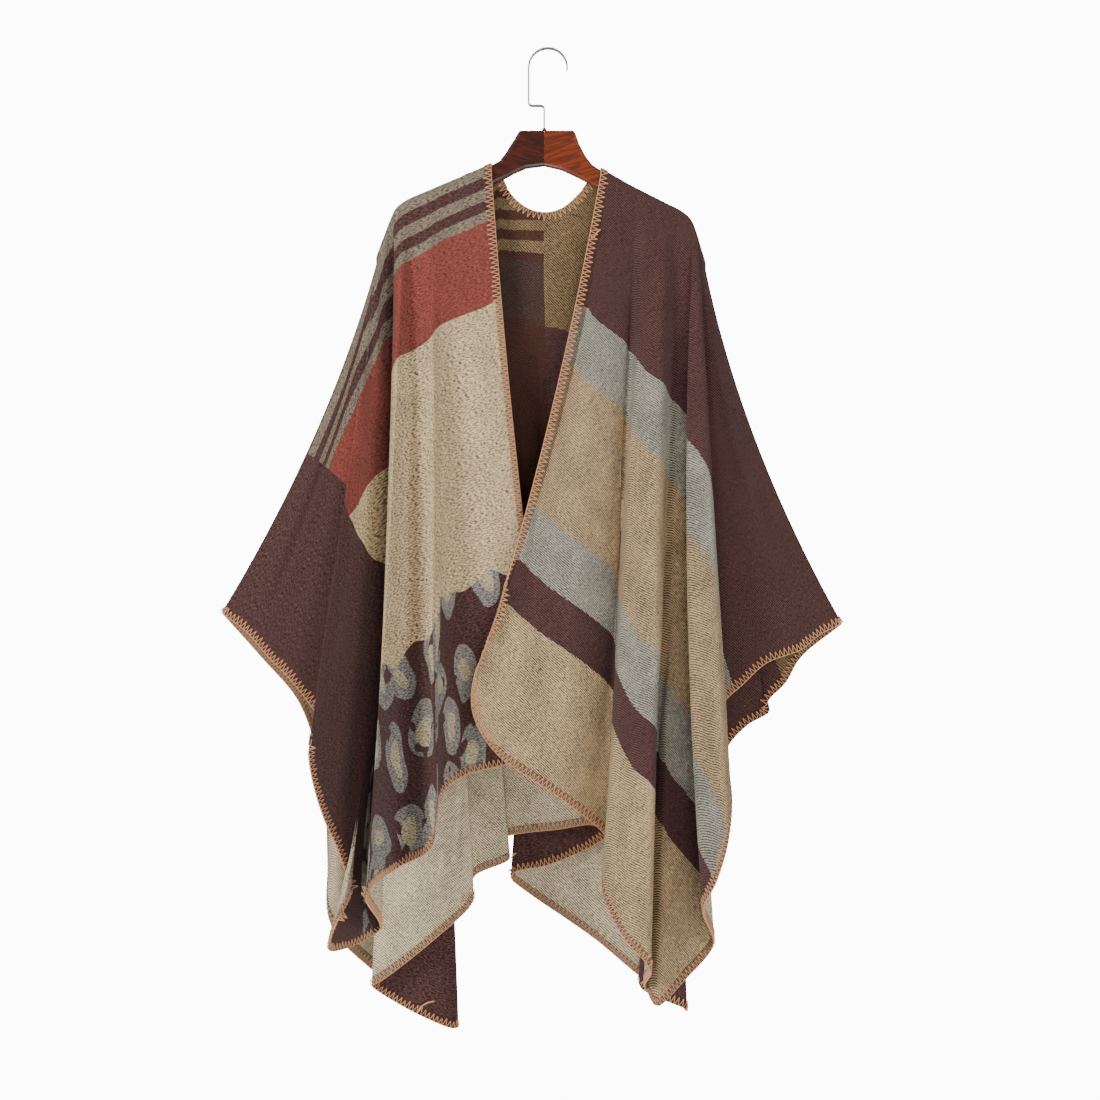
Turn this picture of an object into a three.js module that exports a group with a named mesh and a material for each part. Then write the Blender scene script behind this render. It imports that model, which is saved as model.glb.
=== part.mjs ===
// An open-front poncho wrap, hung on a wooden coat hanger with a flat metal hook.
// One rectangle of double-faced cloth is slit up the centre front to a scooped neck and hangs over the hanger.
// Millimetres, +Z up, and the wearer's front faces -Y. The origin is the inside top of the hook, where a rail
// carries it. A drop is a distance below the origin, and an across is a distance to the viewer's right of it.
import * as THREE from 'three';
import { mergeVertices } from 'three/addons/utils/BufferGeometryUtils.js';

// Driving sizes of the cloth.
const WALL = 2;
const FOLD_RADIUS = 9.5;
const SEAM_GAP = 0.3;
const ARCH_STEPS = 3;
const RUN_STEPS = 10;
const SPANS_BETWEEN_ROWS = 2;
const FOLDS_OPEN_BY = 0.42;
const FOLDS_CLOSED_FROM = 0.74;
const SOFTENINGS = 3;
const SOFTENED_FROM = 0.15;

// Driving sizes of the hanger.
const WOOD_THICKNESS = 11;
const WOOD_BEVEL = 4;
const WOOD_UNDER_CLOTH = WALL + 1;
const WOOD_TOP_DROP = 103.5;
const GLUE_LINE = -3.4;
const UNDERSIDE_AT_GLUE = 149;
const HOOK_STRIP = 2.2;
const HOOK_WIDTH = 7;
const HOOK_ARC_RADIUS = 24.4;
const HOOK_ARC_CENTRE = 1.4;
const HOOK_ARC_END = THREE.MathUtils.degToRad(-8);
const HOOK_BEND = 4;
const HOOK_JOG_DROP = 72;
const COLLAR_HALF_WIDTH = 2.8;
const COLLAR_HALF_DEPTH = 5.2;
const COLLAR_HEIGHT = 2.4;
const TOUCH = 0.3;

// The outline's places are seen from an eye in front of the hanger, and each is drawn to its own depth along
// its line of sight, so the nearer folds are a little smaller than they look.
const EYE = { across: 4, drop: 636, distance: 2600 };

// The hanger's shoulders as the cloth's outer face draws them, from the neck out to where each arm falls free.
const SHOULDER_COLUMNS = ['across', 'drop'];
const LEFT_SHOULDER = table(SHOULDER_COLUMNS, [
  [-71, 145],
  [-110, 162],
  [-150, 179],
  [-177, 191],
  [-191, 201],
  [-200, 219],
  [-208, 240],
  [-217, 264],
]);
const RIGHT_SHOULDER = table(SHOULDER_COLUMNS, [
  [69, 151],
  [104, 171],
  [145, 192],
  [172, 206],
  [183, 216],
  [190, 232],
  [196, 252],
  [203, 274],
]);

// The back's neckline scoop, from the left shoulder's neck point to the right one.
const NECKLINE = table(SHOULDER_COLUMNS, [
  [-55, 170],
  [-34, 195],
  [-8, 206],
  [19, 201],
  [48, 175],
]);

// Each row is one straight fall of the cloth. top is how far along its upper edge it starts, then come the
// place of its foot on the lower edge, and how far its middle bows across and in depth.
const FALL_COLUMNS = ['top', 'across', 'drop', 'depth', 'bow', 'swell'];
const LEFT_FRONT = table(FALL_COLUMNS, [
  [0, -1, 828, -26, -6, 0],
  [10, -6, 872, -27, -5, 0],
  [20, -20, 894, -28, -4, 0],
  [32, -47, 906, -30, -2, 0],
  [52, -105, 922, -32, 0, 0],
  [68, -131, 942, -40, 0, -8],
  [80, -140, 982, -78, 0, -8],
  [92, -146, 1013, -92, 0, 0],
  [106, -187, 1038, -58, 0, 0],
  [122, -230, 1073, -150, 5, 0],
  [136, -214, 1120, -42, 2, 6],
  [146, -276, 1144, -108, 42, 48],
  [152, -263, 1101, -124, 25, 50],
  [157, -250, 1069, -96, 2, 10],
  [162, -263, 1021, -104, 0, 0],
  [167, -283, 975, -122, 0, 0],
  [172, -298, 923, -138, 0, 0],
  [177, -302, 881, -140, 0, 0],
  [182, -286, 856, -62, 4, 0],
  [187, -324, 802, -42, 8, 0],
  [192, -353, 772, -28, 12, 0],
  [198, -382, 739, -14, 16, -3],
  [205, -413, 715, 0, 18, 0],
]);
const RIGHT_FRONT = table(FALL_COLUMNS, [
  [0, -62, 716, -42, 8, 0],
  [5, -79, 765, -44, 18, 0],
  [10, -94, 807, -45, 24, 0],
  [15, -93, 846, -46, 20, 0],
  [21, -64, 894, -48, 9, 0],
  [30, -3, 937, -52, 0, 0],
  [38, 39, 967, -44, 0, 0],
  [46, 77, 1003, -30, 0, 0],
  [52, 74, 1037, -28, 0, 0],
  [60, 71, 1073, -104, 4, 0],
  [76, 99, 1130, -124, 0, 0],
  [94, 130, 1165, -142, 0, 0],
  [110, 126, 1193, -44, 0, 0],
  [120, 140, 1215, -66, 0, 0],
  [127, 174, 1183, -56, 0, 0],
  [132, 210, 1140, -50, -8, 0],
  [137, 198, 1092, -104, -14, 0],
  [142, 215, 1056, -130, -6, 0],
  [147, 231, 1003, -132, 0, 0],
  [152, 235, 955, -106, 0, 0],
  [157, 222, 878, -46, 0, 0],
  [162, 222, 834, -30, 0, 0],
  [167, 250, 805, -32, -4, 0],
  [172, 279, 779, -30, -8, 0],
  [178, 323, 762, -24, -15, 0],
  [184, 345, 744, -12, -20, -3],
  [190, 375, 729, 0, -20, 0],
]);
// The back's rows run from the left arm's tip to the right one. A top below 0 is on the left shoulder, one
// from 0 to 1 is that share of the neckline, and one above 1 is on the right shoulder.
const BACK = table(FALL_COLUMNS, [
  [-205, -413, 715, 0, 18, 0],
  [-196, -362, 772, 16, 12, 0],
  [-188, -314, 830, 34, 8, 0],
  [-180, -286, 929, 76, 4, 0],
  [-172, -277, 1031, 96, 0, 0],
  [-163, -273, 1113, 62, 0, 0],
  [-153, -212, 1177, 104, 0, 0],
  [-143, -136, 1237, 60, 0, 0],
  [-134, -112, 1241, 46, 12, 0],
  [-126, -120, 1243, 36, 0, 0],
  [-118, -166, 1224, 33, 0, 0],
  [-110, -214, 1196, 30, 0, 0],
  [-103, -221, 1189, 23, 0, 0],
  [-96, -212, 1184, 17, 0, 0],
  [-88, -142, 1129, 16, 0, 0],
  [-82, -95, 1083, 14, 0, 0],
  [-76, -96, 1066, 22, 0, 0],
  [-70, -93, 1050, 28, 0, 0],
  [-58, -47, 1027, 25, 0, 0],
  [-50, -62, 1015, 29, 6, 0],
  [-44, -66, 1005, 33, 8, 0],
  [-36, -43, 997, 35, 0, 0],
  [0.04, 15, 990, 34, 0, 0],
  [0.2, 60, 985, 34, 0, 0],
  [0.28, 75, 998, 40, 0, 0],
  [0.36, 60, 1010, 46, 0, 0],
  [0.44, 0, 1036, 48, 0, 0],
  [0.52, -40, 1044, 50, 0, 0],
  [0.58, -46, 1052, 57, 0, 0],
  [0.66, -30, 1066, 64, 0, 0],
  [0.8, 61, 1129, 66, 0, 0],
  [0.96, 124, 1181, 64, 0, 0],
  [22, 133, 1177, 118, 0, 0],
  [40, 154, 1190, 62, 0, 0],
  [58, 159, 1196, 122, 0, 0],
  [76, 178, 1221, 60, 0, 0],
  [92, 176, 1218, 46, 0, 0],
  [104, 146, 1206, 42, 0, 0],
  [116, 118, 1190, 50, 0, 0],
  [124, 124, 1158, 76, 0, 0],
  [131, 182, 1082, 100, 0, 0],
  [138, 210, 1006, 78, 0, 0],
  [145, 222, 942, 54, 0, 0],
  [152, 227, 890, 38, 0, 0],
  [159, 254, 858, 34, -4, 0],
  [164, 283, 840, 30, -6, 0],
  [168, 280, 829, 28, -6, 0],
  [174, 303, 804, 22, -10, 0],
  [181, 322, 772, 15, -15, 0],
  [190, 375, 729, 0, -20, 0],
]);

// Rows of numbers turned to objects with the columns' names.
function table(columns, rows) {
  return rows.map((row) => Object.fromEntries(columns.map((name, index) => [name, row[index]])));
}

// A place as the eye sees it on the hanger's plane, drawn along the line of sight to its depth.
function seen(across, drop, depth) {
  const nearness = (EYE.distance + depth) / EYE.distance;
  return new THREE.Vector3(
    EYE.across + (across - EYE.across) * nearness,
    depth,
    -(EYE.drop + (drop - EYE.drop) * nearness),
  );
}

function curveThrough(places) {
  const points = places.map(({ across, drop }) => seen(across, drop, 0));
  return new THREE.CatmullRomCurve3(points, false, 'centripetal');
}

const leftShoulder = curveThrough(LEFT_SHOULDER);
const rightShoulder = curveThrough(RIGHT_SHOULDER);
const neckline = curveThrough([LEFT_SHOULDER[0], ...NECKLINE, RIGHT_SHOULDER[0]]);

// The place a distance along a shoulder, no further than its end.
function alongShoulder(shoulder, distance) {
  return shoulder.getPointAt(Math.min(distance / shoulder.getLength(), 1));
}

// Where a row of the back starts, and whether the cloth arches over the hanger there.
function backTop(top) {
  if (top < 0) return { place: alongShoulder(leftShoulder, -top), arched: 1 };
  if (top > 1) return { place: alongShoulder(rightShoulder, top), arched: 1 };
  return { place: neckline.getPointAt(top), arched: 0 };
}

// One row's points: over the hanger on a quarter circle, then straight down to its foot with its bow.
function rowPoints(row, start, lift, side) {
  const arch = Array.from({ length: ARCH_STEPS + 1 }, (_, step) => {
    const angle = (Math.PI / 2) * (step / ARCH_STEPS);
    const forward = lift * (1 - start.arched) + lift * start.arched * Math.sin(angle);
    const fall = FOLD_RADIUS * start.arched * (1 - Math.cos(angle));
    return start.place.clone().add(new THREE.Vector3(0, side * forward, -fall));
  });
  const from = arch[ARCH_STEPS];
  const foot = seen(row.across, row.drop, row.depth);
  const run = Array.from({ length: RUN_STEPS }, (_, step) => {
    const share = (step + 1) / RUN_STEPS;
    const bend = 4 * share * (1 - share);
    return from.clone().lerp(foot, share).add(new THREE.Vector3(row.bow * bend, row.swell * bend, 0));
  });
  return [...arch, ...run];
}

// The lift eases to nothing at the rows that lie on an arm's fold.
function liftOf(rowsFromFold) {
  return FOLD_RADIUS * Math.min(1, Math.sqrt(rowsFromFold / 4));
}

// A grid of points through the rows, smooth across them at each level.
function clothGrid(rows) {
  const levels = rows[0].length;
  const columns = (rows.length - 1) * SPANS_BETWEEN_ROWS;
  const grid = Array.from({ length: columns + 1 }, () => []);
  for (let level = 0; level < levels; level += 1) {
    const curve = new THREE.CatmullRomCurve3(rows.map((row) => row[level]), false, 'centripetal');
    grid.forEach((column, index) => column.push(curve.getPoint(index / columns)));
  }
  return grid;
}

// The unit normal at a grid point, from its neighbours, on the cloth's outer face.
function gridNormal(grid, column, level, side) {
  const last = grid.length - 1;
  const lowest = grid[0].length - 1;
  const across = grid[Math.min(column + 1, last)][level].clone().sub(grid[Math.max(column - 1, 0)][level]);
  const down = grid[column][Math.min(level + 1, lowest)].clone().sub(grid[column][Math.max(level - 1, 0)]);
  return across.cross(down).normalize().multiplyScalar(side);
}

// Keeps a point on its own side of the fold line, half the seam's gap from it.
function onItsSide(point, side) {
  const held = point.clone();
  held.y = side * Math.max(side * held.y, SEAM_GAP / 2);
  return held;
}

// A closed wall: the outer face, the inner face a wall's thickness behind it, and the rim that joins them.
function clothWall(grid, side, normalSide) {
  const columns = grid.length;
  const levels = grid[0].length;
  const points = [];
  for (const inward of [0, WALL]) {
    for (let column = 0; column < columns; column += 1) {
      for (let level = 0; level < levels; level += 1) {
        const normal = gridNormal(grid, column, level, normalSide);
        const point = grid[column][level].clone().addScaledVector(normal, -inward);
        points.push(onItsSide(point, side));
      }
    }
  }
  const at = (face, column, level) => face * columns * levels + column * levels + level;
  const index = [];
  const quad = (a, b, c, d) => {
    const corners = normalSide > 0 ? [a, b, c, a, c, d] : [a, c, b, a, d, c];
    index.push(...corners);
  };
  for (let column = 0; column < columns - 1; column += 1) {
    for (let level = 0; level < levels - 1; level += 1) {
      quad(at(0, column, level), at(0, column + 1, level), at(0, column + 1, level + 1), at(0, column, level + 1));
      quad(at(1, column, level), at(1, column, level + 1), at(1, column + 1, level + 1), at(1, column + 1, level));
    }
  }
  for (let column = 0; column < columns - 1; column += 1) {
    const foot = levels - 1;
    quad(at(0, column, 0), at(1, column, 0), at(1, column + 1, 0), at(0, column + 1, 0));
    quad(at(0, column, foot), at(0, column + 1, foot), at(1, column + 1, foot), at(1, column, foot));
  }
  for (let level = 0; level < levels - 1; level += 1) {
    const end = columns - 1;
    quad(at(0, 0, level), at(0, 0, level + 1), at(1, 0, level + 1), at(1, 0, level));
    quad(at(0, end, level), at(1, end, level), at(1, end, level + 1), at(0, end, level + 1));
  }
  const geometry = new THREE.BufferGeometry();
  geometry.setAttribute('position', new THREE.Float32BufferAttribute(points.flatMap((p) => p.toArray()), 3));
  geometry.setIndex(index);
  geometry.computeVertexNormals();
  return geometry;
}

// A front panel from its rows. turn is 1 where the rows run to the viewer's left, and -1 to the right.
function frontPanel(rows, shoulder, turn) {
  const points = rows.map((row, index) => {
    const start = { place: alongShoulder(shoulder, row.top), arched: 1 };
    return rowPoints(row, start, liftOf(rows.length - 1 - index), -1);
  });
  return clothWall(clothGrid(points), -1, turn);
}

// A list of numbers softened by their neighbours by a part of the way, with its ends held.
function softened(values, part) {
  let soft = values;
  for (let pass = 0; pass < SOFTENINGS; pass += 1) {
    const before = soft;
    soft = before.map((value, index) => {
      if (index === 0 || index === before.length - 1) return value;
      const between = before[index - 1] / 4 + value / 2 + before[index + 1] / 4;
      return THREE.MathUtils.lerp(value, between, part);
    });
  }
  return soft;
}

// Opens the folds above the hem: high up the rows stand in order across, and lower down each goes to its foot.
function openedAbove(rows) {
  const levels = rows[0].length;
  for (let level = 0; level < levels; level += 1) {
    const share = Math.max(level - ARCH_STEPS, 0) / RUN_STEPS;
    const folded = THREE.MathUtils.smoothstep(share, FOLDS_OPEN_BY, FOLDS_CLOSED_FROM);
    const sorted = rows.map((row) => row[level].x).sort((left, right) => left - right);
    const inOrder = softened(sorted, THREE.MathUtils.clamp(share / SOFTENED_FROM, 0, 1));
    rows.forEach((row, index) => {
      row[level].x = THREE.MathUtils.lerp(inOrder[index], row[level].x, folded);
    });
  }
  return rows;
}

function backPanel(rows) {
  const points = rows.map((row, index) => {
    const rowsFromFold = Math.min(index, rows.length - 1 - index);
    return rowPoints(row, backTop(row.top), liftOf(rowsFromFold), 1);
  });
  return clothWall(clothGrid(openedAbove(points)), 1, 1);
}

// A flat outline in across and drop, turned to stand in the hanger's plane and centred on it.
function standingPlate(outline, thickness, bevel) {
  const shape = new THREE.Shape(outline.map(([across, drop]) => new THREE.Vector2(across, -drop)));
  const geometry = new THREE.ExtrudeGeometry(shape, {
    depth: thickness - 2 * bevel,
    bevelEnabled: bevel > 0,
    bevelThickness: bevel,
    bevelSize: bevel,
    bevelOffset: -bevel,
    bevelSegments: 3,
  });
  geometry.translate(0, 0, -(thickness - 2 * bevel) / 2);
  geometry.rotateX(Math.PI / 2);
  return geometry;
}

// The wood's upper edge from the neck to the arm's tip, squarely under the cloth's outer face.
function woodUnderCloth(shoulder, reach) {
  const steps = 8;
  return Array.from({ length: steps + 1 }, (_, step) => {
    const distance = reach.from + (reach.to - reach.from) * (step / steps);
    const place = alongShoulder(shoulder, distance);
    const along = shoulder.getTangentAt(distance / shoulder.getLength());
    const depth = Math.sign(along.x) * WOOD_UNDER_CLOTH;
    return [place.x + along.z * depth, -place.z + along.x * depth];
  });
}

const LEFT_WOOD_CROWN = [
  [-34, WOOD_TOP_DROP],
  [-37, 107],
  [-43, 117],
  [-51, 130],
  [-60, 142],
];
const LEFT_WOOD_UNDERSIDE = [
  [-187, 208],
  [-182, 212],
  [-160, 204],
  [-120, 190],
  [-90, 179],
  [-66, 171],
  [-53, 165],
  [-40, 158],
  [-26, 152],
];
const RIGHT_WOOD_CROWN = [
  [34, WOOD_TOP_DROP],
  [37, 108],
  [41, 120],
  [50, 137],
  [58, 147],
];
const RIGHT_WOOD_UNDERSIDE = [
  [179, 222],
  [174, 226],
  [150, 215],
  [115, 199],
  [85, 185],
  [62, 176],
  [40, 164],
  [18, 154],
];

// One half of the hanger. Its outline runs from the glue line over the crown, along the arm and back below. It
// starts a bevel's width past the glue line and is flattened onto it, so that the glued faces have no bevel.
function hangerHalf(crown, shoulder, underside, towards) {
  const glue = GLUE_LINE + towards * (SEAM_GAP / 2);
  const past = glue - towards * WOOD_BEVEL;
  const outline = [
    [past, WOOD_TOP_DROP],
    ...crown,
    ...woodUnderCloth(shoulder, { from: 5, to: 120 }),
    ...underside,
    [past, UNDERSIDE_AT_GLUE],
  ];
  const geometry = standingPlate(outline, WOOD_THICKNESS, WOOD_BEVEL);
  const places = geometry.getAttribute('position');
  for (let corner = 0; corner < places.count; corner += 1) {
    const beyond = towards * (places.getX(corner) - glue);
    places.setX(corner, glue + towards * Math.max(beyond, 0));
  }
  return geometry;
}

// The hook's centre line in across and drop: up from the wood, a jog to the left, up again and round the rail.
function hookLine() {
  const stem = GLUE_LINE;
  const neck = HOOK_ARC_CENTRE - HOOK_ARC_RADIUS;
  const arcDrop = HOOK_ARC_RADIUS - HOOK_STRIP / 2;
  const corner = (across, drop, from, to) => [0, 1, 2, 3].map((step) => {
    const angle = from + (to - from) * (step / 3);
    return [across + HOOK_BEND * Math.cos(angle), drop - HOOK_BEND * Math.sin(angle)];
  });
  const line = [[stem, WOOD_TOP_DROP - TOUCH]];
  line.push(...corner(stem - HOOK_BEND, HOOK_JOG_DROP + HOOK_BEND, 0, Math.PI / 2));
  line.push(...corner(neck + HOOK_BEND, HOOK_JOG_DROP - HOOK_BEND, (Math.PI * 3) / 2, Math.PI));
  const arcSteps = 24;
  for (let step = 0; step <= arcSteps; step += 1) {
    const angle = Math.PI + (HOOK_ARC_END - Math.PI) * (step / arcSteps);
    line.push([
      HOOK_ARC_CENTRE + HOOK_ARC_RADIUS * Math.cos(angle),
      arcDrop - HOOK_ARC_RADIUS * Math.sin(angle),
    ]);
  }
  return line.map(([across, drop]) => new THREE.Vector2(across, drop));
}

// The outline of a strip of even thickness along a centre line.
function stripOutline(line, thickness) {
  const sides = [[], []];
  line.forEach((point, index) => {
    const before = line[Math.max(index - 1, 0)];
    const after = line[Math.min(index + 1, line.length - 1)];
    const along = after.clone().sub(before).normalize();
    const off = new THREE.Vector2(-along.y, along.x).multiplyScalar(thickness / 2);
    sides[0].push(point.clone().add(off).toArray());
    sides[1].unshift(point.clone().sub(off).toArray());
  });
  return [...sides[0], ...sides[1]];
}

// The small dark collar that the hook's stem passes through, standing on the crown of the wood.
function hookCollar() {
  const ring = new THREE.Shape();
  ring.absellipse(0, 0, COLLAR_HALF_WIDTH, COLLAR_HALF_DEPTH, 0, Math.PI * 2, false);
  const halfStrip = HOOK_STRIP / 2 + TOUCH;
  const halfWidth = HOOK_WIDTH / 2 + TOUCH;
  const slot = new THREE.Path([
    new THREE.Vector2(-halfStrip, -halfWidth),
    new THREE.Vector2(-halfStrip, halfWidth),
    new THREE.Vector2(halfStrip, halfWidth),
    new THREE.Vector2(halfStrip, -halfWidth),
  ]);
  ring.holes.push(slot);
  const geometry = new THREE.ExtrudeGeometry(ring, { depth: COLLAR_HEIGHT, bevelEnabled: false, curveSegments: 16 });
  geometry.translate(GLUE_LINE, 0, -WOOD_TOP_DROP + TOUCH);
  return geometry;
}

// Cleans a geometry to shared vertices, so each piece is one closed body.
function closed(geometry) {
  const bare = geometry.clone();
  bare.deleteAttribute('normal');
  bare.deleteAttribute('uv');
  const merged = mergeVertices(bare, 1e-3);
  merged.computeVertexNormals();
  return merged;
}

const MATERIALS = {
  maroonCloth: new THREE.MeshStandardMaterial({ color: 0x54302e, roughness: 0.95, metalness: 0 }),
  khakiCloth: new THREE.MeshStandardMaterial({ color: 0xaa9876, roughness: 0.95, metalness: 0 }),
  tanCloth: new THREE.MeshStandardMaterial({ color: 0xb09870, roughness: 0.95, metalness: 0 }),
  darkWood: new THREE.MeshStandardMaterial({ color: 0x502010, roughness: 0.3, metalness: 0 }),
  redWood: new THREE.MeshStandardMaterial({ color: 0x8c3e18, roughness: 0.3, metalness: 0 }),
  steel: new THREE.MeshStandardMaterial({ color: 0x96918c, roughness: 0.3, metalness: 1 }),
  darkSteel: new THREE.MeshStandardMaterial({ color: 0x38302c, roughness: 0.5, metalness: 0.8 }),
};

function piece(name, geometry, material) {
  const mesh = new THREE.Mesh(closed(geometry), material);
  mesh.name = name;
  return mesh;
}

const wrap = new THREE.Group();
wrap.add(
  piece('poncho_left_front', frontPanel(LEFT_FRONT, leftShoulder, 1), MATERIALS.khakiCloth),
  piece('poncho_right_front', frontPanel(RIGHT_FRONT, rightShoulder, -1), MATERIALS.tanCloth),
  piece('poncho_back', backPanel(BACK), MATERIALS.maroonCloth),
);

const hanger = new THREE.Group();
hanger.add(
  piece('hanger_left_half', hangerHalf(LEFT_WOOD_CROWN, leftShoulder, LEFT_WOOD_UNDERSIDE, -1), MATERIALS.darkWood),
  piece('hanger_right_half', hangerHalf(RIGHT_WOOD_CROWN, rightShoulder, RIGHT_WOOD_UNDERSIDE, 1), MATERIALS.redWood),
  piece('hanger_hook', standingPlate(stripOutline(hookLine(), HOOK_STRIP), HOOK_WIDTH, 0), MATERIALS.steel),
  piece('hook_collar', hookCollar(), MATERIALS.darkSteel),
);

const wrapOnHanger = new THREE.Group();
wrapOnHanger.add(wrap, hanger);
export default wrapOnHanger;
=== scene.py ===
"""An open-front poncho wrap of double-faced brushed cloth, hung on a wooden hanger with a flat metal hook.

The scene is in the frame's metres: +Z up, the open front faces -Y, and the origin is the inside top of the
hook. The cloth is drawn from the same falls as the solids, in millimetres, and every fall also says where it
lies on the flat cut, so that the woven pattern follows the cloth.
"""
import logging
import math
from dataclasses import dataclass, field
from enum import Enum
from typing import Any, Callable, Optional, Union

import bpy
import numpy as np
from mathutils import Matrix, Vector


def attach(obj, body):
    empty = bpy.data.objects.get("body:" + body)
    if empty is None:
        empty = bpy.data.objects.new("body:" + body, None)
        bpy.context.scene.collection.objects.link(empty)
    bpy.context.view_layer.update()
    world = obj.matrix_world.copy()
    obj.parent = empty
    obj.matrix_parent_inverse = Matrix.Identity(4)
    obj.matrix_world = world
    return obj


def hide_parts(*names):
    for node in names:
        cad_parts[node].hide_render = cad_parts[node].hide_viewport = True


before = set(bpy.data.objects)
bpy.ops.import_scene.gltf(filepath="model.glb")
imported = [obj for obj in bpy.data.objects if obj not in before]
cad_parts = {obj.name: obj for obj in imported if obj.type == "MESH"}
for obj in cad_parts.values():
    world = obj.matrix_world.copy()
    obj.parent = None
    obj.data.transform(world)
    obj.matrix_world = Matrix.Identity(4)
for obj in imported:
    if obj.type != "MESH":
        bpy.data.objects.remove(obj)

LOG = logging.getLogger("wrap")
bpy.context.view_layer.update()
MM = 0.001
CUT_MAP = "cut"

Rows = list[tuple[float, ...]]
Number = Union[int, float]
Value = Union["Wire", Number]
Colour = tuple[float, float, float]


def srgb(red: int, green: int, blue: int) -> Colour:
    """Turn an eye's 0 to 255 colour into the shader's linear one."""
    def linear(level: int) -> float:
        share = level / 255
        return share / 12.92 if share <= 0.04045 else ((share + 0.055) / 1.055) ** 2.4
    return linear(red), linear(green), linear(blue)


class Yarn(Enum):
    """The cloth's dyed yarns, with the melange that each is spun with."""

    MAROON = (srgb(50, 27, 27), srgb(98, 68, 64))
    RED = (srgb(150, 74, 62), srgb(76, 42, 38))
    KHAKI = (srgb(234, 203, 152), srgb(70, 73, 76))
    TAN = (srgb(212, 180, 130), srgb(56, 58, 62))
    # The tan yarn again, a little darker: painted shade for the right front's second band.
    DEEP_TAN = (srgb(200, 169, 124), srgb(54, 54, 56))
    GREY = (srgb(144, 130, 110), srgb(64, 56, 52))
    BLUE_GREY = (srgb(174, 167, 147), srgb(62, 64, 66))
    GREIGE = (srgb(242, 222, 184), srgb(98, 90, 74))
    # Khaki darkened as painted shade, for the back's inner face near the neck and shoulders.
    OLIVE = (srgb(144, 118, 82), srgb(52, 42, 32))
    COCOA = (srgb(84, 62, 54), srgb(38, 28, 25))
    BROWN = (srgb(88, 54, 44), srgb(40, 25, 22))
    SPOT = (srgb(154, 148, 138), srgb(70, 68, 68))
    SPOT_HEART = (srgb(204, 186, 146), srgb(100, 96, 88))


@dataclass(frozen=True)
class Eye:
    """Where the photograph was taken from, and how wide it sees at the hanger."""

    across: float = 4.0
    drop: float = 636.0
    distance: float = 2600.0
    view_width: float = 1397.0
    sensor: float = 36.0

    def seen(self, across: float, drop: float, depth: float) -> np.ndarray:
        """Draw a place on the hanger's plane along its line of sight to a depth.

        Args:
            across: place to the viewer's right of the hook.
            drop: place below the hook's inside top.
            depth: depth behind the hanger's plane.

        Returns:
            The place in metres.
        """
        nearness = (self.distance + depth) / self.distance
        place = (self.across + (across - self.across) * nearness, depth,
                 -(self.drop + (drop - self.drop) * nearness))
        return np.array(place) * MM


EYE = Eye()

# Places in the tables are millimetres: across to the viewer's right, and drop below the hook's inside top.
# The two shoulders and the neckline are seen on the hanger's plane.
LEFT_SHOULDER: Rows = [
    (-71, 145), (-110, 162), (-150, 179), (-177, 191), (-191, 201), (-200, 219), (-208, 240), (-217, 264),
]
RIGHT_SHOULDER: Rows = [
    (69, 151), (104, 171), (145, 192), (172, 206), (183, 216), (190, 232), (196, 252), (203, 274),
]
NECKLINE: Rows = [
    (-71, 145), (-55, 170), (-34, 195), (-8, 206), (19, 201), (48, 175), (69, 151),
]

# Columns: start along the top, then the foot's across, drop and depth, the middle's bow and swell, and where
# the foot lies on the flat cut: its distance from the slit's line and from the shoulder's fold.
LEFT_FRONT: Rows = [
    (0, -1, 828, -26, -6, 0, 0, 692),
    (10, -6, 872, -27, -5, 0, 12, 712),
    (20, -20, 894, -28, -4, 0, 32, 720),
    (32, -47, 906, -30, -2, 0, 72, 721),
    (52, -105, 922, -32, 0, 0, 140, 721),
    (68, -131, 942, -40, 0, -8, 190, 721),
    (80, -140, 982, -78, 0, -8, 246, 721),
    (92, -146, 1013, -92, 0, 0, 290, 721),
    (106, -187, 1038, -58, 0, 0, 350, 721),
    (122, -230, 1073, -150, 5, 0, 430, 721),
    (136, -214, 1120, -42, 2, 6, 520, 721),
    (146, -276, 1144, -108, 42, 48, 748, 719),
    (152, -263, 1101, -124, 25, 50, 750, 665),
    (157, -250, 1069, -96, 2, 10, 750, 620),
    (162, -263, 1021, -104, 0, 0, 750, 570),
    (167, -283, 975, -122, 0, 0, 750, 515),
    (172, -298, 923, -138, 0, 0, 750, 455),
    (177, -302, 881, -140, 0, 0, 750, 400),
    (182, -286, 856, -62, 4, 0, 750, 300),
    (187, -324, 802, -42, 8, 0, 750, 190),
    (192, -353, 772, -28, 12, 0, 750, 125),
    (198, -382, 739, -14, 16, -3, 750, 60),
    (205, -413, 715, 0, 18, 0, 750, 0),
]
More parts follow.
